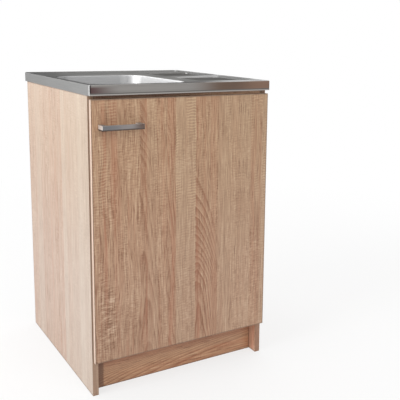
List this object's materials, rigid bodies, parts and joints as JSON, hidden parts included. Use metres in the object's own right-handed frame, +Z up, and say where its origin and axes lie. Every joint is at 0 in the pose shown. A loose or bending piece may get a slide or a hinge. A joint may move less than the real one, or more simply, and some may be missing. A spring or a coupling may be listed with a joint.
{
  "type": "kitchen sink unit",
  "caption": "Free-standing kitchen sink cabinet with an oak-decor door, a lay-on stainless bowl and drainer, a plug and a waste kit with an overflow and a trap.",
  "frame": {"origin": "on the floor, under the middle of the outline from the handle's front to the sink's back edge", "axes": "+X to the right seen from the front, +Y to the back, +Z up; the door faces -Y"},
  "size_m": [0.55, 0.626, 0.85],
  "materials": {
    "decor_board": "light oak decor foil on chipboard, matt",
    "beech": "plain",
    "zinc": "bright zinc",
    "screw_steel": "zinc plated",
    "nickel_steel": "nickel plated pressed steel",
    "handle_metal": "satin grey",
    "clear_bumper": "soft clear",
    "stainless": "brushed",
    "black_rubber": "matt",
    "black_plastic": "matt",
    "white_plastic": "satin white"
  },
  "bodies": {
    "cabinet": {"side_panel_left": "decor_board", "side_panel_right": "decor_board", "bottom_panel": "decor_board", "front_rail": "decor_board", "rear_top_rail": "decor_board", "rear_lower_rail": "decor_board", "plinth_board": "decor_board", "plinth_brackets": "nickel_steel", "plinth_bracket_screws": "screw_steel", "cam_discs": "zinc", "cam_bolts": "zinc", "board_dowels": "beech", "hinge_pins": "nickel_steel", "hinge_arms": "nickel_steel", "hinge_plates": "nickel_steel", "hinge_plate_screws": "screw_steel", "hinge_arm_screws": "screw_steel", "sink_top": "stainless", "sink_clips": "nickel_steel", "sink_clip_screws": "screw_steel", "strainer_flange": "stainless", "strainer_screw": "screw_steel", "drain_seals": "black_rubber", "drain_body": "white_plastic", "overflow_nut": "white_plastic", "overflow_bend": "white_plastic", "overflow_housing": "white_plastic", "overflow_seal": "black_rubber", "overflow_plate": "stainless", "overflow_frame": "black_plastic", "overflow_screw": "screw_steel", "tailpipe": "white_plastic", "spigot_cap": "white_plastic", "trap_nuts": "white_plastic", "trap_bend": "white_plastic", "outlet_pipe": "white_plastic"},
    "door": {"door_panel": "decor_board", "door_handle": "handle_metal", "handle_screws": "screw_steel", "door_bumpers": "clear_bumper", "hinge_cups": "nickel_steel", "hinge_cup_screws": "screw_steel"},
    "outer_links": {"hinge_outer_links": "nickel_steel"},
    "inner_links": {"hinge_inner_links": "nickel_steel"},
    "plug": {"rubber_plug": "black_rubber"},
    "ring": {"plug_ring": "nickel_steel"}
  },
  "joints": [
    {"name": "door_swing", "type": "hinge", "parent": "cabinet", "child": "door", "pos_m": [0.2645, -0.279, 0.456], "axis": [0, 0, 1], "range_deg": [0, 100]},
    {"name": "outer_link_turn", "type": "hinge", "parent": "cabinet", "child": "outer_links", "pos_m": [0.237, -0.2625, 0.456], "axis": [0, 0, 1], "range_deg": [-42, 0]},
    {"name": "inner_link_turn", "type": "hinge", "parent": "cabinet", "child": "inner_links", "pos_m": [0.243, -0.2625, 0.456], "axis": [0, 0, 1], "range_deg": [-54, 0]},
    {"name": "plug_lift", "type": "slide", "parent": "cabinet", "child": "plug", "axis": [0, 0, 1], "range_m": [0, 0.2]},
    {"name": "ring_swing", "type": "hinge", "parent": "plug", "child": "ring", "pos_m": [-0.1045, -0.0585, 0.7181], "axis": [1, 0, 0], "range_deg": [-80, 80]}
  ],
  "couplings": [
    {"joint": "outer_link_turn", "follows": "door_swing", "ratio": -0.41},
    {"joint": "inner_link_turn", "follows": "door_swing", "ratio": -0.53}
  ]
}
